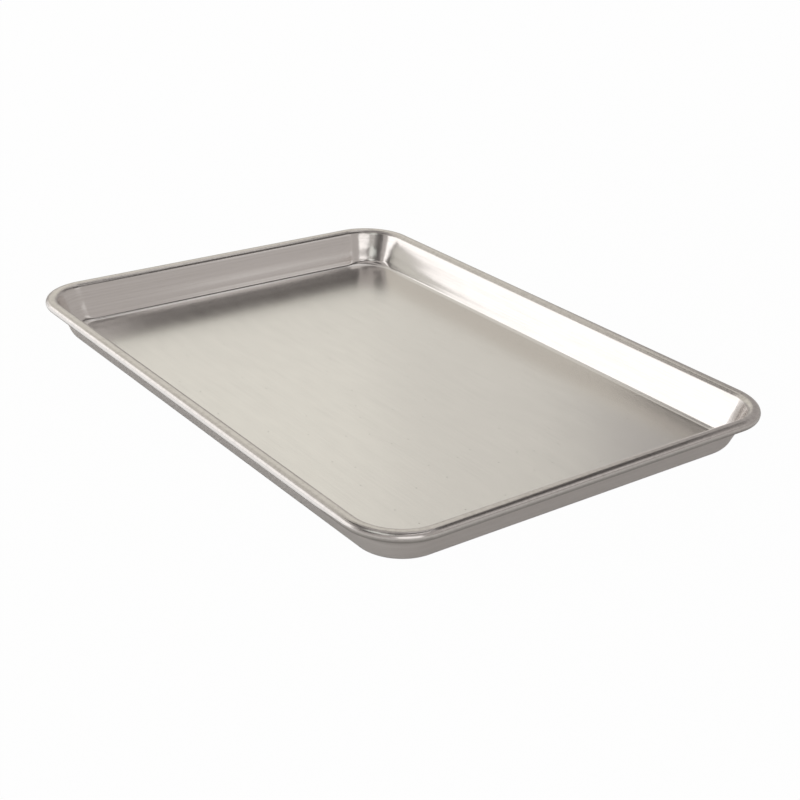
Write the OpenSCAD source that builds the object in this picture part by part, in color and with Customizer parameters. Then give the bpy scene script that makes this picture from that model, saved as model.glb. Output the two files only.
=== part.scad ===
// Jelly roll pan: a drawn aluminium sheet pan with a rim rolled over a steel wire.
// The length runs along X, the width along Y, and the pan stands on z = 0 with its middle at the origin.

/* [Overall] */
// Length over the rolled rim
pan_l = 395; // [250:1:600]
// Width over the rolled rim
pan_w = 284; // [180:1:450]
// Height from the table to the top of the rim
pan_h = 25.4; // [18:0.1:50]
// Corner radius in plan, at the outside of the rim
rim_corner_r = 34; // [26:0.5:60]

/* [Sheet and walls] */
// Thickness of the aluminium sheet
sheet_t = 1; // [0.6:0.05:1.5]
// Lean of the walls from upright, in degrees
wall_draft = 20.5; // [5:0.5:30]
// Corner radius of the flat floor, in plan
floor_corner_r = 15; // [12:0.5:40]
// Inside radius of the bend from wall to floor, along the sides
side_bend_r = 3; // [1.5:0.25:6]
// Inside radius of the bend from wall to floor, round the corners
corner_bend_r = 7; // [6:0.25:10]
// Length over which the side bend opens out into the corner bend
bend_blend = 10; // [2:1:30]

/* [Rolled rim] */
// Diameter of the steel wire inside the rim
wire_d = 4; // [3:0.1:5.5]
// Clearance between the wire and the sheet curled round it
wire_clearance = 0.05; // [0.02:0.01:0.2]
// Outside radius of the shoulder, where the wall turns out into the rim
shoulder_r = 4; // [2.5:0.25:5]
// Gap between the curled edge of the sheet and the back of the wall
curl_gap = 1.05; // [0.4:0.05:2]
// How far the sheet curls round the wire, in degrees from the top
curl_wrap = 265; // [200:5:270]
// Gap between the two ends of the wire
wire_butt_gap = 1.5; // [0.5:0.5:5]

/* [Hidden] */

// The roll is the wire, its clearance and the sheet round it
curl_in_r = wire_d / 2 + wire_clearance;
roll_r = curl_in_r + sheet_t;
roll_z = pan_h - roll_r;

// The shoulder's centre, set so that the curled edge clears the wall by curl_gap
shoulder_in_r = shoulder_r - sheet_t;
shoulder_inset = 2 * roll_r + curl_gap - shoulder_in_r * cos(wall_draft);
shoulder_z = pan_h - shoulder_r;

// The level of the tray's top edge, where the wall's inner face runs into the shoulder
join_z = shoulder_z + shoulder_r * sin(wall_draft);

// The swept rim dips this far into the tray's top edge, which stands this far past it on both faces,
// so that the two are one sheet
seam = 0.06;

// How much of the tray forms stands above the join before it is trimmed
trim_h = 2;

// Facets round the bends from wall to floor, and round the corners in plan
bend_steps = 40;
plan_steps = 96;

// Distance in from the rim's outside to the wall's face at height z.
// skin is 0 for the face inside the pan and sheet_t for the face outside.
function wall_inset(z, skin) =
    shoulder_inset + (shoulder_r - skin) / cos(wall_draft) + (shoulder_z - z) * tan(wall_draft);

// Distance in from the rim's outside to the centre of a bend of inside radius r
function bend_inset(r) = wall_inset(sheet_t + r, 0) + r / cos(wall_draft);

// A full ring of sheet in section, of outside radius r
module sheet_ring(r) {
    difference() {
        circle(r = r, $fn = 96);
        circle(r = r - sheet_t, $fn = 96);
    }
}

// The upper quarter of a ring, from the land down to the tray's top edge
module shoulder_section() {
    low = join_z - seam - shoulder_z;
    translate([-shoulder_inset, shoulder_z]) intersection() {
        sheet_ring(shoulder_r);
        translate([-shoulder_r, low]) square([shoulder_r, shoulder_r - low]);
    }
}

// The ring round the wire, left open between the end of the curl and the land
module curl_section() {
    open_a = 360 - curl_wrap;
    reach = 2 * roll_r;
    translate([-roll_r, roll_z]) difference() {
        sheet_ring(roll_r);
        polygon([
            [0, 0],
            [0, reach],
            reach * [cos(90 + open_a / 2), sin(90 + open_a / 2)],
            reach * [cos(90 + open_a), sin(90 + open_a)]
        ]);
    }
}

// Cross-section of the rim: shoulder, flat land and curl. x = 0 is its outside and y is the height.
module rim_section() {
    shoulder_section();
    translate([-shoulder_inset, pan_h - sheet_t]) square([shoulder_inset - roll_r, sheet_t]);
    curl_section();
}

// Sweeps a section round the rim: four straight sides and four round corners
module sweep_rim() {
    for (side = [0:3]) {
        along_x = side % 2 == 1;
        reach = (along_x ? pan_w : pan_l) / 2;
        run = (along_x ? pan_l : pan_w) - 2 * rim_corner_r;
        rotate(90 * side) translate([reach, 0, 0]) rotate([90, 0, 0])
            linear_extrude(run, center = true) children();
    }
    for (corner = [0:3]) {
        along_x = corner % 2 == 1;
        x = (along_x ? pan_w : pan_l) / 2 - rim_corner_r;
        y = (along_x ? pan_l : pan_w) / 2 - rim_corner_r;
        rotate(90 * corner) translate([x, y, 0])
            rotate_extrude(angle = 90, $fn = 96) translate([rim_corner_r, 0]) children();
    }
}

// Places a child at each corner, inset from the rim's outside
module at_corners(inset) {
    for (x = [-1, 1], y = [-1, 1])
        translate([x * (pan_l / 2 - inset), y * (pan_w / 2 - inset), 0]) children();
}

// The tray as a solid form: the pan's outside with skin = sheet_t, and its cavity with skin = 0.
// The bend from wall to floor is tight along the sides and opens out round the corners.
// edge moves the top edge in.
module tray_form(skin, edge) {
    side_inset = bend_inset(side_bend_r);
    corner_inset = bend_inset(corner_bend_r) + floor_corner_r;
    top_inset = wall_inset(join_z, skin) + edge;
    hull() {
        at_corners(corner_inset) translate([0, 0, sheet_t + corner_bend_r])
            rotate_extrude($fn = plan_steps) translate([floor_corner_r, 0])
                circle(r = corner_bend_r + skin, $fn = bend_steps);
        for (side = [-1, 1]) {
            translate([0, side * (pan_w / 2 - side_inset), sheet_t + side_bend_r]) rotate([0, 90, 0])
                cylinder(r = side_bend_r + skin, h = pan_l - 2 * (corner_inset + bend_blend),
                    center = true, $fn = bend_steps);
            translate([side * (pan_l / 2 - side_inset), 0, sheet_t + side_bend_r]) rotate([90, 0, 0])
                cylinder(r = side_bend_r + skin, h = pan_w - 2 * (corner_inset + bend_blend),
                    center = true, $fn = bend_steps);
        }
        at_corners(rim_corner_r) translate([0, 0, join_z])
            cylinder(r = rim_corner_r - top_inset, h = trim_h, $fn = plan_steps);
    }
}

// Floor, bends and walls, open at the top and cut level where the rim takes over
module tray() {
    difference() {
        tray_form(sheet_t, -seam);
        tray_form(0, seam);
        translate([-pan_l / 2, -pan_w / 2, join_z]) cube([pan_l, pan_w, pan_h]);
    }
}

// One sheet of aluminium: the tray with its rim rolled outwards and back under
module pan_shell() {
    color("gainsboro") union() {
        tray();
        sweep_rim() rim_section();
    }
}

// One steel wire bent to the rim's outline, its ends meeting midway along a long side
module rim_wire() {
    color("slategray") difference() {
        sweep_rim() translate([-roll_r, roll_z]) circle(d = wire_d, $fn = 48);
        translate([-wire_butt_gap / 2, pan_w / 2 - 2 * roll_r, roll_z - roll_r])
            cube([wire_butt_gap, 2 * roll_r, 2 * roll_r]);
    }
}

pan_shell();
rim_wire();
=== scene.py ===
import math

import bpy
from mathutils import Matrix, Vector


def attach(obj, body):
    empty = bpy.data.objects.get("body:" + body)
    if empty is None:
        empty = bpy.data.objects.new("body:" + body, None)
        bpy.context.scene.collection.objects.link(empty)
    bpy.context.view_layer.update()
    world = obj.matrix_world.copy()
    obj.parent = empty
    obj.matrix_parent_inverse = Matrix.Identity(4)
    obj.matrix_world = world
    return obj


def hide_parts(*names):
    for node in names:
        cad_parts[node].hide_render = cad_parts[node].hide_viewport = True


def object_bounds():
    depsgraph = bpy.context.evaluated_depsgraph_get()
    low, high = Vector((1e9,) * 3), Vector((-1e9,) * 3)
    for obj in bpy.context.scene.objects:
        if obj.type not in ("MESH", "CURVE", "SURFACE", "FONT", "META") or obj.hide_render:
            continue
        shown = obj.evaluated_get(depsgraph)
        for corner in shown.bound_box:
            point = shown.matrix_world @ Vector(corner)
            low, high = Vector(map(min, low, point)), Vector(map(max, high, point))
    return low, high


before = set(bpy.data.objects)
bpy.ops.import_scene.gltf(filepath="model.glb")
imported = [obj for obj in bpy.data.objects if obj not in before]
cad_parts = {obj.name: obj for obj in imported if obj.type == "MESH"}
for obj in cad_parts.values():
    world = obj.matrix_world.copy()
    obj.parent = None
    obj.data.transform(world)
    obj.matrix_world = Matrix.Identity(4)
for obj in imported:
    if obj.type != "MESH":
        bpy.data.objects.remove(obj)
cadLow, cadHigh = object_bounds()
mm = 0.001
print("Frame loaded")


# Small helpers

def linearColour(code):  # sRGB hex to the linear colour that nodes take
    parts = [int(code[i:i + 2], 16) / 255 for i in (1, 3, 5)]
    linear = [c / 12.92 if c <= 0.04045 else ((c + 0.055) / 1.055) ** 2.4 for c in parts]
    return (*linear, 1.0)


# A node's input is a value to set, a socket to link, or a node to link by its first output
def addNode(tree, kind, inputs=None, **settings):
    node = tree.nodes.new("ShaderNode" + kind)
    for name, value in settings.items():
        setattr(node, name, value)
    for name, value in (inputs or {}).items():
        if isinstance(value, bpy.types.Node):
            value = value.outputs[0]
        if isinstance(value, bpy.types.NodeSocket):
            tree.links.new(value, node.inputs[name])
        else:
            node.inputs[name].default_value = value
    return node


def newMaterial(name):
    material = bpy.data.materials.new(name)
    material.use_nodes = True
    material.node_tree.nodes.clear()
    return material


def giveMaterial(piece, material):
    piece.data.materials.clear()
    piece.data.materials.append(material)


# Camera, at the photograph's angle

cameraSetup = {
    "place": (0.6661, -0.4986, 0.3733),
    "aim": (0.0266, -0.0040, 0.0),
    "roll": 2.417,  # degrees about the line of sight
    "lens": 66.29,  # mm
    "sensor": 36,  # mm
}

cameraData = bpy.data.cameras.new("camera")
cameraData.lens = cameraSetup["lens"]
cameraData.sensor_width = cameraSetup["sensor"]
camera = bpy.data.objects.new("camera", cameraData)
bpy.context.collection.objects.link(camera)
lookAlong = Vector(cameraSetup["aim"]) - Vector(cameraSetup["place"])
turn = lookAlong.to_track_quat("-Z", "Y").to_matrix().to_4x4()
roll = Matrix.Rotation(math.radians(cameraSetup["roll"]), 4, "Z")
camera.matrix_world = Matrix.Translation(cameraSetup["place"]) @ turn @ roll
bpy.context.scene.camera = camera
bpy.context.scene.view_settings.view_transform = "Standard"
print("Camera placed")


# The pan: one drawn sheet with its rim rolled over a wire

pan = {
    "rimRadius": 34 * mm,  # corner in plan, outside the rim
    "sheet": 1.0 * mm,
    "draft": 20.5,  # degrees, lean of the walls
    "floorRadius": 15 * mm,  # corner of the flat floor
    "sideBend": 3 * mm,  # wall to floor, along the sides
    "cornerBend": 7 * mm,  # wall to floor, round the corners
    "floorBorder": 9 * mm,  # the floor lifts gently over this width, up to the bend
    "floorLift": 0.4 * mm,
    "borderSteps": 9,
    "shoulder": 4 * mm,
    "curlGap": 1.05 * mm,  # curled edge to the back of the wall
    "roll": 3.05 * mm,  # wire, clearance and sheet
    "landFall": 0.001 * mm,  # rings in one plane bridge twisted, so the flat land falls this much
    "curlWrap": 265,  # degrees from the top
    "cornerSteps": 24,
    "bendSteps": 16,
    "wallSteps": 14,
    "bowLevel": 10 * mm,  # the walls are slightly bowed here
    "bowHeight": 3 * mm,
    "bowTilt": 3.0,  # degrees
    "shoulderSteps": 8,
    "rollSteps": 53,
    "sideCuts": 10,
    "cutMargin": 46 * mm,  # the first and last cut stay clear of the corners
    "smoothAngle": 50,  # degrees, edges sharper than this stay crisp
}

draft = math.radians(pan["draft"])
panLength, panWidth, panHeight = cadHigh - cadLow
shoulderInner = pan["shoulder"] - pan["sheet"]
shoulderInset = 2 * pan["roll"] + pan["curlGap"] - shoulderInner * math.cos(draft)
shoulderLevel = panHeight - pan["shoulder"]
bendTop = pan["sheet"] + pan["cornerBend"] * (1 - math.sin(draft))
wallTop = shoulderLevel + pan["shoulder"] * math.sin(draft)


def wallInset(z):  # rim's outside to the wall's inner face at height z
    drop = shoulderLevel - z
    return shoulderInset + pan["shoulder"] / math.cos(draft) + drop * math.tan(draft)


def bow(z):  # how far the bowed wall stands out of the straight one at height z
    def swell(level):
        return math.erf((level - pan["bowLevel"]) / pan["bowHeight"])
    if not bendTop < z < wallTop:
        return 0
    share = (z - bendTop) / (wallTop - bendTop)  # levels the swell, so that both ends stay put
    reach = math.radians(pan["bowTilt"]) * pan["bowHeight"] * math.sqrt(math.pi) / 2
    return reach * (swell(z) - swell(bendTop) - share * (swell(wallTop) - swell(bendTop)))


def bendInset(radius):  # rim's outside to the centre of a bend of that radius
    return wallInset(pan["sheet"]) + radius * math.tan(math.pi / 4 - draft / 2)


def trayRing(z):  # the sides have the tight bend, and the corner is opened to reach the wide one
    side, corner = pan["sideBend"], pan["cornerBend"]
    rise = z - pan["sheet"]
    inset = wallInset(z)
    if rise < side * (1 - math.sin(draft)):
        inset = bendInset(side) - math.sqrt(side ** 2 - (side - rise) ** 2)
    # the corner's centre goes from low at the bend to high at the rim
    low, high = bendInset(corner) + pan["floorRadius"], pan["rimRadius"]
    if z < bendTop:
        centre = low
        radius = pan["floorRadius"] + math.sqrt(corner ** 2 - (corner - rise) ** 2)
    else:
        centre = low + (high - low) * (z - bendTop) / (wallTop - bendTop)
        radius = centre - wallInset(z)
    slant = math.sqrt(0.5)  # cosine of 45 degrees, where the corner is measured
    diagonal = centre - radius * slant
    return inset - bow(z), z, (diagonal - inset) / (1 - slant)


def panRings():  # every ring of the sheet's upper face, from the floor out to the curled edge
    rings = []
    corner, reach = pan["cornerBend"], math.pi / 2 - draft
    for i in range(1, pan["bendSteps"] + 1):
        share = i / pan["bendSteps"]
        rise = corner * (1 - math.cos(reach * share))
        inset, level, radius = trayRing(pan["sheet"] + rise)
        rings.append((inset, level + pan["floorLift"] * (1 - share ** 2), radius))
    for i in range(1, pan["wallSteps"]):
        rings.append(trayRing(bendTop + (wallTop - bendTop) * i / pan["wallSteps"]))
    for i in range(pan["shoulderSteps"] + 1):
        a = draft + reach * i / pan["shoulderSteps"]
        inset = shoulderInset + pan["shoulder"] * math.cos(a)
        level = shoulderLevel + pan["shoulder"] * math.sin(a)
        rings.append((inset, level, pan["rimRadius"] - inset))
    for i in range(pan["rollSteps"] + 1):
        a = math.radians(pan["curlWrap"]) * i / pan["rollSteps"]
        inset = pan["roll"] * (1 - math.sin(a))
        level = panHeight - pan["roll"] * (1 - math.cos(a)) - pan["landFall"]
        rings.append((inset, level, pan["rimRadius"] - inset))
    return rings


def addRing(inset, level, radius, filled):  # a rounded outline, joined to the ring before it
    bpy.ops.mesh.select_all(action="DESELECT")
    bpy.ops.mesh.primitive_plane_add(size=1, location=(0, 0, level))
    bpy.ops.transform.resize(value=(panLength - 2 * inset, panWidth - 2 * inset, 1))
    bpy.ops.mesh.bevel(affect="VERTICES", offset=radius, segments=pan["cornerSteps"],
                       profile=0.5, clamp_overlap=False)  # a profile of 0.5 is round
    if filled:  # the floor, whose border falls ever less from the bend inwards
        steps = pan["borderSteps"]
        for i in range(steps):
            share = (1 - i / steps) ** 2 - (1 - (i + 1) / steps) ** 2
            bpy.ops.mesh.inset(thickness=pan["floorBorder"] / steps,
                               depth=-share * (level - pan["sheet"]))
    else:
        bpy.ops.mesh.delete(type="ONLY_FACE")
        bpy.ops.mesh.select_non_manifold(extend=False, use_multi_face=False,
                                         use_non_contiguous=False, use_verts=False)
        bpy.ops.mesh.bridge_edge_loops()


def cutAcross(axis, place):  # keeps the faces along the sides from getting long and thin
    bpy.ops.mesh.select_all(action="SELECT")
    normal = [0, 0, 0]
    normal[axis] = 1
    bpy.ops.mesh.bisect(plane_co=[place * n for n in normal], plane_no=normal)


def makePanShell():
    bpy.ops.object.select_all(action="DESELECT")
    bpy.ops.mesh.primitive_plane_add(size=1)
    shell = bpy.context.object
    shell.name = shell.data.name = "pan_sheet"
    bpy.ops.object.mode_set(mode="EDIT")
    bpy.ops.mesh.delete(type="VERT")
    for i, ring in enumerate(panRings()):
        addRing(*ring, filled=i == 0)
    bpy.ops.mesh.select_all(action="SELECT")
    bpy.ops.mesh.normals_make_consistent(inside=False)
    for axis, reach in enumerate((panLength / 2, panWidth / 2)):
        reach -= pan["cutMargin"]
        for i in range(pan["sideCuts"] + 1):
            cutAcross(axis, reach * (2 * i / pan["sideCuts"] - 1))
    bpy.ops.object.mode_set(mode="OBJECT")
    thick = shell.modifiers.new("sheet", "SOLIDIFY")
    thick.thickness = pan["sheet"]
    thick.offset = -1  # down from the upper face
    thick.use_even_offset = True
    thick.use_quality_normals = True
    bpy.ops.object.modifier_apply(modifier="sheet")
    bpy.ops.object.shade_smooth_by_angle(angle=math.radians(pan["smoothAngle"]))
    flat = shell.modifiers.new("flats", "WEIGHTED_NORMAL")
    flat.keep_sharp = True
    bpy.ops.object.modifier_apply(modifier="flats")
    return shell


panShell = makePanShell()
print("Pan sheet modelled:", len(panShell.data.polygons), "faces")


# Materials

aluminium = {
    "floor": {"colour": "#E6E4E2", "worn": "#E0DEDC", "roughness": 0.23},  # as rolled
    "wall": {"colour": "#EAE6E3", "worn": "#DEDAD6", "roughness": 0.17},  # burnished by the die
    "rim": {"colour": "#D6D2CF", "worn": "#CAC6C3", "roughness": 0.23},  # scuffed in use
    "wornFrom": (0.35, 0.7),  # where the line pattern goes over to the worn colour
    "scuffedFrom": (0.45, 0.7),  # the same on the rim, in the scuff pattern
    "roughnessSpread": 0.04,
    "patterns": {  # size along X, Y and Z
        # rolling lines along the floor, really 0.1 mm wide, drawn coarser so that they show
        "grain": {"size": (70 * mm, 0.9 * mm, 70 * mm), "detail": 3.0},
        # lines that the die left round the walls, drawn as coarse
        "streaks": {"size": (120 * mm, 120 * mm, 0.9 * mm), "detail": 3.0},
        # patches where wiping has left more or less of them
        "clouds": {"size": (21.6 * mm, 7.2 * mm, 3.6 * mm), "detail": 3.0},
        # scuffs, really 0.5 mm or less, drawn coarser so that they show
        "scuffs": {"size": (2.2 * mm, 2.2 * mm, 2.2 * mm), "detail": 3.0},
        # slack in the sheet
        "waves": {"size": (55 * mm, 55 * mm, 55 * mm), "detail": 1.0},
        # where the corners were gathered in
        "puckers": {"size": (6 * mm, 6 * mm, 9 * mm), "detail": 1.0},
    },
    "lineDepth": 0.0002 * mm,
    "scuffDepth": 0.001 * mm,
    "waveDepth": 0.012 * mm,
    "puckerDepth": 0.12 * mm,
    "puckerReach": (50 * mm, 30 * mm),  # fades in between these distances from the sides
    "speckSpacing": 17 * mm,
    "speckShare": 0.35,  # of the places for a speck
    "speckSize": 0.75 * mm,  # pits, really 0.3 mm, drawn coarser so that they show
    "speckEdge": (0.3, 0.6),  # fades out this far from its middle, as shares of its size
    "speckColour": "#A29E98",
    "paintedShade": "#A5A09B",  # painted shade on the outer wall and the roll's underside, where the roll shades them
    "levels": {  # heights between which each of these begins
        "wall": (1.6 * mm, 3.6 * mm),  # the floor's grain gives way to the walls' streaks
        "rim": (22.8 * mm, 23.8 * mm),
        "rimOutside": (18.6 * mm, 20.6 * mm),
        # painted shade under the roll: fades in between these heights, and out again below the
        # roll
        "paintedShade": (12.5 * mm, 17 * mm),
        "belowRoll": (21.9 * mm, 20.6 * mm),  # downwards
    },
}


# Mill finish 3003 sheet, drawn in a die: satin grey with a warm cast, fine lines, few pits.
# Math takes its inputs by number, and Mix takes numbers at 2 and 3 and colours at 6 and 7.
def satinAluminium():
    material = newMaterial("drawn_aluminium")
    tree = material.node_tree
    source = addNode(tree, "TexCoord")
    coords = source.outputs["Object"]
    place = addNode(tree, "SeparateXYZ", {0: coords})
    facing = addNode(tree, "SeparateXYZ", {0: source.outputs["Normal"]})

    # Where each finish and the painted shade under the roll lie: by height, and by the outside of
    # a leaning wall, which looks down
    levels = {}
    for name, (start, end) in aluminium["levels"].items():
        levels[name] = addNode(tree, "MapRange", {
            "Value": place.outputs["Z"], "From Min": start, "From Max": end,
        })
    onWall = levels["wall"]
    outside = addNode(tree, "Math", {0: facing.outputs["Z"], 1: 0.0}, operation="LESS_THAN")
    # Painted shade: the outer wall just below the roll and the roll's underside are darkened,
    # where the roll shades them
    paintedShade = addNode(tree, "Math", {0: levels["paintedShade"], 1: levels["belowRoll"]},
                      operation="MULTIPLY")
    paintedShade = addNode(tree, "Math", {0: paintedShade, 1: outside}, operation="MULTIPLY")
    onRim = addNode(tree, "Math", {0: levels["rimOutside"], 1: outside}, operation="MULTIPLY")
    onRim = addNode(tree, "Math", {0: levels["rim"], 1: onRim}, operation="MAXIMUM")

    patterns = {}
    for name, pattern in aluminium["patterns"].items():
        stretched = addNode(tree, "Mapping", {
            "Vector": coords, "Scale": [1 / size for size in pattern["size"]],
        })
        patterns[name] = addNode(tree, "TexNoise", {
            "Vector": stretched, "Scale": 1.0, "Detail": pattern["detail"],
        })
    clouds, scuffs = patterns["clouds"], patterns["scuffs"]
    lines = addNode(tree, "Mix", {0: onWall, 2: patterns["grain"], 3: patterns["streaks"]})

    # A speck in some of the cells on the floor
    density = 1 / aluminium["speckSpacing"]
    cells = addNode(tree, "TexVoronoi", {"Vector": coords, "Scale": density},
                    voronoi_dimensions="2D")
    near, far = (density * aluminium["speckSize"] * share for share in aluminium["speckEdge"])
    chance = addNode(tree, "SeparateColor", {0: cells.outputs["Color"]})
    chosen = addNode(tree, "Math", {0: chance, 1: aluminium["speckShare"]},
                     operation="LESS_THAN")
    speck = addNode(tree, "MapRange", {
        "Value": cells.outputs["Distance"], "From Min": far, "From Max": near,
    })
    speck = addNode(tree, "Math", {0: speck, 1: chosen}, operation="MULTIPLY")
    onFloor = addNode(tree, "Math", {0: 1.0, 1: onWall}, operation="SUBTRACT")
    speck = addNode(tree, "Math", {0: speck, 1: onFloor}, operation="MULTIPLY")

    # Each part's own colour, worn along the lines or in the scuffs, then one laid over the other,
    # with the specks and the painted shade under the roll on top
    start, end = aluminium["wornFrom"]
    worn = addNode(tree, "MapRange", {"Value": lines, "From Min": start, "From Max": end})
    worn = addNode(tree, "Math", {0: worn, 1: clouds}, operation="MULTIPLY")
    start, end = aluminium["scuffedFrom"]
    scuffed = addNode(tree, "MapRange", {"Value": scuffs, "From Min": start, "From Max": end})
    tones = {}
    for part, wear in (("floor", worn), ("wall", worn), ("rim", scuffed)):
        tones[part] = addNode(tree, "Mix", {
            0: wear,
            6: linearColour(aluminium[part]["colour"]),
            7: linearColour(aluminium[part]["worn"]),
        }, data_type="RGBA").outputs[2]
    base = tones["floor"]
    layers = (
        (onWall, tones["wall"]),
        (onRim, tones["rim"]),
        (speck, linearColour(aluminium["speckColour"])),
        # painted shade under the roll
        (paintedShade, linearColour(aluminium["paintedShade"])),
    )
    for share, tone in layers:
        base = addNode(tree, "Mix", {0: share, 6: base, 7: tone}, data_type="RGBA").outputs[2]

    rough = aluminium["floor"]["roughness"]
    for share, part in ((onWall, "wall"), (onRim, "rim")):
        rough = addNode(tree, "Mix", {0: share, 2: rough, 3: aluminium[part]["roughness"]})
    # the clouds' noise is 0.5 in the middle
    spread = addNode(tree, "Math", {0: clouds, 1: 0.5}, operation="SUBTRACT")
    rough = addNode(tree, "Math", {0: spread, 1: 2 * aluminium["roughnessSpread"], 2: rough},
                    operation="MULTIPLY_ADD")

    # Relief, from the broadest to the finest. The puckers lie on the walls, near the corners.
    far, near = aluminium["puckerReach"]
    puckers = addNode(tree, "Math", {0: patterns["puckers"], 1: onWall}, operation="MULTIPLY")
    for axis, size in (("X", panLength), ("Y", panWidth)):
        reach = addNode(tree, "Math", {0: place.outputs[axis]}, operation="ABSOLUTE")
        reach = addNode(tree, "MapRange", {
            "Value": reach, "From Min": size / 2 - far, "From Max": size / 2 - near,
        })
        puckers = addNode(tree, "Math", {0: puckers, 1: reach}, operation="MULTIPLY")
    scuffs = addNode(tree, "Math", {0: scuffs, 1: onRim}, operation="MULTIPLY")
    reliefs = (
        (patterns["waves"], aluminium["waveDepth"]),
        (puckers, aluminium["puckerDepth"]),
        (scuffs, aluminium["scuffDepth"]),
        (lines, aluminium["lineDepth"]),
    )
    surface = {}
    for relief, depth in reliefs:
        bump = addNode(tree, "Bump", {
            "Height": relief, "Strength": 1.0, "Distance": depth, **surface,
        })
        surface = {"Normal": bump}
    shader = addNode(tree, "BsdfPrincipled", {
        "Base Color": base, "Metallic": 1.0, "Roughness": rough, **surface,
    })
    addNode(tree, "OutputMaterial", {"Surface": shader})
    return material


wire = {
    "colour": "#B9BCBF",
    "colourDull": "#8F9396",
    "roughness": 0.38,
    "roughnessSpread": 0.06,
    "spangle": 1.6 * mm,  # zinc crystals, drawn coarser than on wire so that they show
    "drawLine": 0.25 * mm,
    "drawDepth": 0.01 * mm,
    "drawStrength": 0.3,
}


# Zinc over drawn steel: cooler and duller than the sheet, with a fine spangle
def galvanisedWire():
    material = newMaterial("galvanised_wire")
    tree = material.node_tree
    coords = addNode(tree, "TexCoord").outputs["Object"]
    crystals = addNode(tree, "TexVoronoi", {"Vector": coords, "Scale": 1 / wire["spangle"]})
    tone = addNode(tree, "SeparateColor", {0: crystals.outputs["Color"]})
    base = addNode(tree, "Mix", {
        0: tone, 6: linearColour(wire["colour"]), 7: linearColour(wire["colourDull"]),
    }, data_type="RGBA").outputs[2]
    rough = addNode(tree, "MapRange", {
        "Value": tone,
        "To Min": wire["roughness"] - wire["roughnessSpread"],
        "To Max": wire["roughness"] + wire["roughnessSpread"],
    })
    drawn = addNode(tree, "TexNoise", {
        "Vector": coords, "Scale": 1 / wire["drawLine"], "Detail": 3.0,
    })
    bump = addNode(tree, "Bump", {
        "Height": drawn, "Strength": wire["drawStrength"], "Distance": wire["drawDepth"],
    })
    shader = addNode(tree, "BsdfPrincipled", {
        "Base Color": base, "Metallic": 1.0, "Roughness": rough, "Normal": bump,
    })
    addNode(tree, "OutputMaterial", {"Surface": shader})
    return material


giveMaterial(panShell, satinAluminium())
giveMaterial(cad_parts["rim_wire"], galvanisedWire())
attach(panShell, "root")
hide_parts("pan_shell")
print("Materials given")


# Studio: pale floor, white round it, soft light

studio = {
    "floorSize": 12.0,
    "floorDrop": 0.1 * mm,  # below the pan, so that the two don't share a plane
    "floorColour": "#F6F6F6",
    "roomColour": "#AFAAA7",
    "whiteToCamera": 0.98,  # share of plain white in the floor's and the room's look
    "whiteInMetal": 0.06,  # the same in reflections, where the photograph shows it greyer
    "softboxes": {  # azimuth and elevation in degrees, seen from the pan
        "softbox_left": {
            "azimuth": 229, "elevation": 13, "distance": 2.2,
            "size": (1.8, 1.3), "radiance": 0.95,
        },
        "softbox_back": {
            "azimuth": 170, "elevation": 36, "distance": 2.4,
            "size": (3.35, 1.9), "radiance": 0.29, "colour": "#FFFFEE",
        },
        "softbox_back_core": {
            "azimuth": 157, "elevation": 28, "distance": 2.4,
            "size": (1.1, 0.65), "radiance": 0.15, "colour": "#FFFFEE",
        },
        "softbox_back_low": {
            "azimuth": 198, "elevation": 9, "distance": 2.2,
            "size": (0.95, 0.9), "radiance": 0.45,
        },
        "softbox_top": {
            "azimuth": 92, "elevation": 68, "distance": 2.2,
            "size": (2.2, 0.9), "radiance": 0.3,
        },
        "softbox_right": {
            "azimuth": 340, "elevation": 14, "distance": 2.2,
            "size": (1.5, 1.3), "radiance": 0.82,
        },
        "softbox_near": {
            "azimuth": 298, "elevation": 47, "distance": 0.75,
            "size": (0.36, 0.3), "radiance": 0.52, "colour": "#F4FFFA",
        },
        "softbox_corner": {
            "azimuth": 354, "elevation": 53, "distance": 0.63,
            "size": (0.22, 0.11), "radiance": 0.6,
        },
        "strip_right": {
            "azimuth": 39, "elevation": 25, "distance": 2.4,
            "size": (0.62, 0.45), "radiance": 0.34,
        },
    },
    "flagColour": "#7E7C7C",
    "flags": [  # level cards over the pan: low corner, high corner and height
        ((-0.02, 0.18), (0.48, 0.62), 0.55),
        ((0.17, -0.33), (0.36, 0.13), 0.55),
        ((-0.1, -1.4), (0.42, -0.68), 0.55),
        ((-0.35, 0.45), (-0.02, 0.75), 0.55),
        ((-0.34, -0.36), (-0.08, -0.13), 0.55),
        ((0.54, -0.58), (0.68, -0.33), 0.55),
        ((-0.33, 0.02), (-0.17, 0.13), 0.55),
        ((-0.15, 0.04), (-0.02, 0.18), 0.55),
        ((-0.04, -0.47), (0.07, -0.22), 0.4),
    ],
    "bounce": ((-0.91, -1.2), (0.12, -0.1445), 0.0),  # white card on the floor, left of the pan
}


def whiteShare(tree):  # how white a ray sees the surroundings: white to the camera, less in metal
    rays = addNode(tree, "LightPath")
    bent = addNode(tree, "Math", {
        0: rays.outputs["Is Glossy Ray"], 1: rays.outputs["Is Transmission Ray"],
    }, operation="ADD")
    inMetal = addNode(tree, "Math", {0: bent, 1: studio["whiteInMetal"]}, operation="MULTIPLY")
    return addNode(tree, "Math", {
        0: rays.outputs["Is Camera Ray"], 1: studio["whiteToCamera"], 2: inMetal,
    }, operation="MULTIPLY_ADD")


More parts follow.
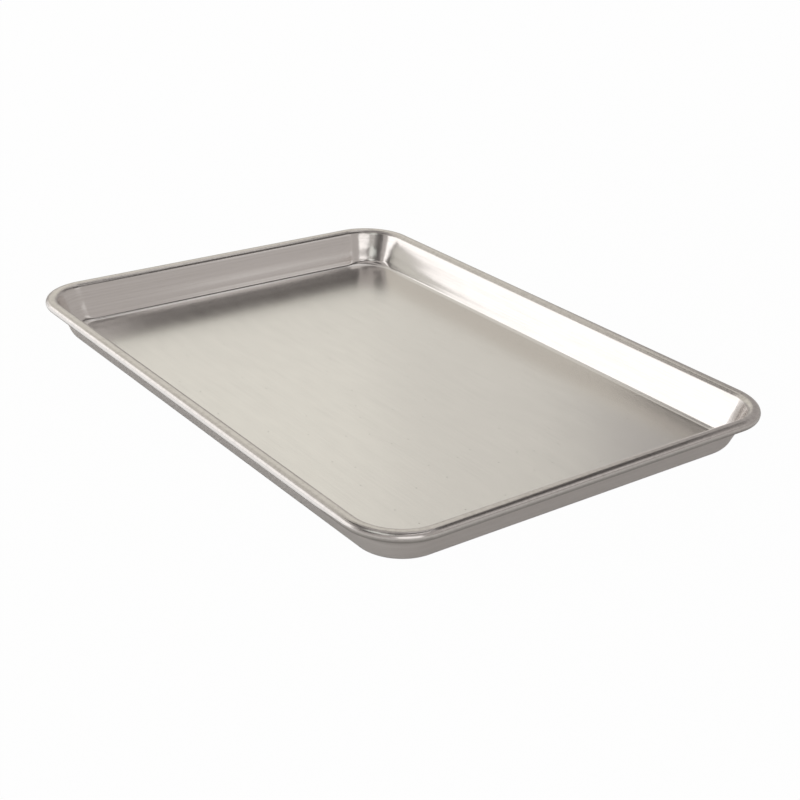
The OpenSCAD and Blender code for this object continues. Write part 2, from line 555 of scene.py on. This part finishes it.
def makeFloor():
    bpy.ops.object.select_all(action="DESELECT")
    bpy.ops.mesh.primitive_plane_add(size=studio["floorSize"],
                                     location=(0, 0, -studio["floorDrop"]))
    floor = bpy.context.object
    floor.name = "studio_floor"
    material = newMaterial("white_paper")
    tree = material.node_tree
    paper = addNode(tree, "BsdfDiffuse", {"Color": linearColour(studio["floorColour"])})
    glow = addNode(tree, "Emission", {"Color": (1, 1, 1, 1), "Strength": 1.0})
    mixed = addNode(tree, "MixShader", {0: whiteShare(tree), 1: paper, 2: glow})
    addNode(tree, "OutputMaterial", {"Surface": mixed})
    giveMaterial(floor, material)


def makeWorld():
    world = bpy.data.worlds.new("studio")
    world.use_nodes = True
    tree = world.node_tree
    tree.nodes.clear()
    roomColour = linearColour(studio["roomColour"])
    room = addNode(tree, "Background", {"Color": roomColour, "Strength": 1.0})
    white = addNode(tree, "Background", {"Color": (1, 1, 1, 1), "Strength": 1.0})
    mixed = addNode(tree, "MixShader", {0: whiteShare(tree), 1: room, 2: white})
    addNode(tree, "OutputWorld", {"Surface": mixed})
    bpy.context.scene.world = world


def makeSoftbox(name, azimuth, elevation, distance, size, radiance, colour="#FFFFFF"):
    data = bpy.data.lights.new(name, "AREA")
    data.shape = "RECTANGLE"
    data.size, data.size_y = size
    data.energy = radiance * math.pi * size[0] * size[1]  # watts
    data.color = linearColour(colour)[:3]
    a, e = math.radians(azimuth), math.radians(elevation)
    towards = Vector((math.cos(a) * math.cos(e), math.sin(a) * math.cos(e), math.sin(e)))
    turned = towards.to_track_quat("Z", "Y").to_matrix().to_4x4()
    lamp = bpy.data.objects.new(name, data)
    bpy.context.collection.objects.link(lamp)
    lamp.matrix_world = Matrix.Translation(towards * distance) @ turned
    lamp.visible_camera = False


def makeCard(name, low, high, height, material):
    bpy.ops.object.select_all(action="DESELECT")
    middle = [(a + b) / 2 for a, b in zip(low, high)]
    bpy.ops.mesh.primitive_plane_add(size=1, location=(*middle, height))
    bpy.ops.transform.resize(value=(high[0] - low[0], high[1] - low[1], 1))
    card = bpy.context.object
    card.name = name
    giveMaterial(card, material)
    card.visible_camera = False
    return card


def makeCards():
    cloth = newMaterial("grey_cloth")
    flagColour = linearColour(studio["flagColour"])
    surface = addNode(cloth.node_tree, "BsdfDiffuse", {"Color": flagColour})
    addNode(cloth.node_tree, "OutputMaterial", {"Surface": surface})
    for i, flag in enumerate(studio["flags"]):
        makeCard("flag_%d" % (i + 1), *flag, cloth)
    white = newMaterial("white_card")
    surface = addNode(white.node_tree, "Emission", {"Color": (1, 1, 1, 1), "Strength": 1.0})
    addNode(white.node_tree, "OutputMaterial", {"Surface": surface})
    bounce = makeCard("bounce_card", *studio["bounce"], white)
    bounce.visible_diffuse = bounce.visible_shadow = False


makeFloor()
makeWorld()
for name, setup in studio["softboxes"].items():
    makeSoftbox(name, **setup)
makeCards()
print("Studio lit")
